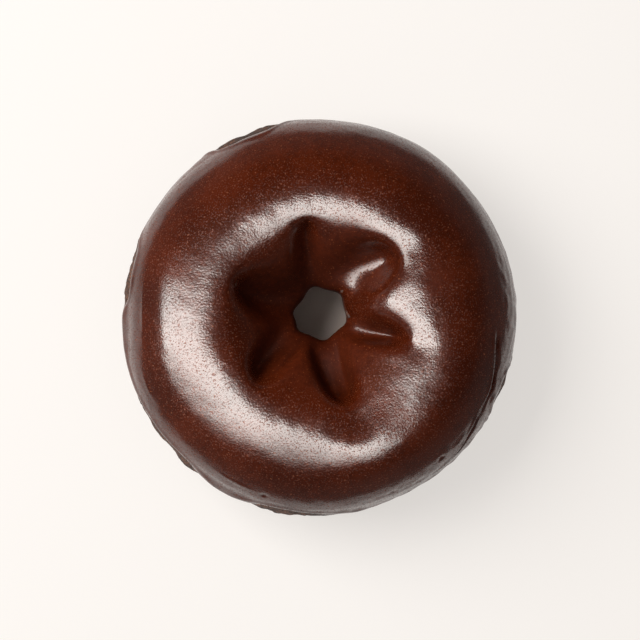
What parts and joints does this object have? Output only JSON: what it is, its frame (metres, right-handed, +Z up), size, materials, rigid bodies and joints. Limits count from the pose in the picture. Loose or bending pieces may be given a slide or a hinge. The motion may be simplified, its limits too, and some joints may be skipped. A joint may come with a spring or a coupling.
{
  "type": "ring doughnut",
  "caption": "Round ring doughnut with a small creased hole through its middle and a glossy chocolate glaze over its crown. It rests on a flat patch under the ring.",
  "frame": {"origin": "middle of the ring's footprint, on the surface that it rests on", "axes": "+Z up through the hole; +X and +Y lie in the plane of the ring"},
  "size_m": [0.0834, 0.0838, 0.032],
  "materials": {
    "fried_dough": "rough fried crust of a dark chocolate dough",
    "chocolate_glaze": "set chocolate glaze, glossy with a fine grain"
  },
  "bodies": {
    "root": {"dough_ring": "fried_dough", "chocolate_glaze": "chocolate_glaze"}
  },
  "joints": []
}
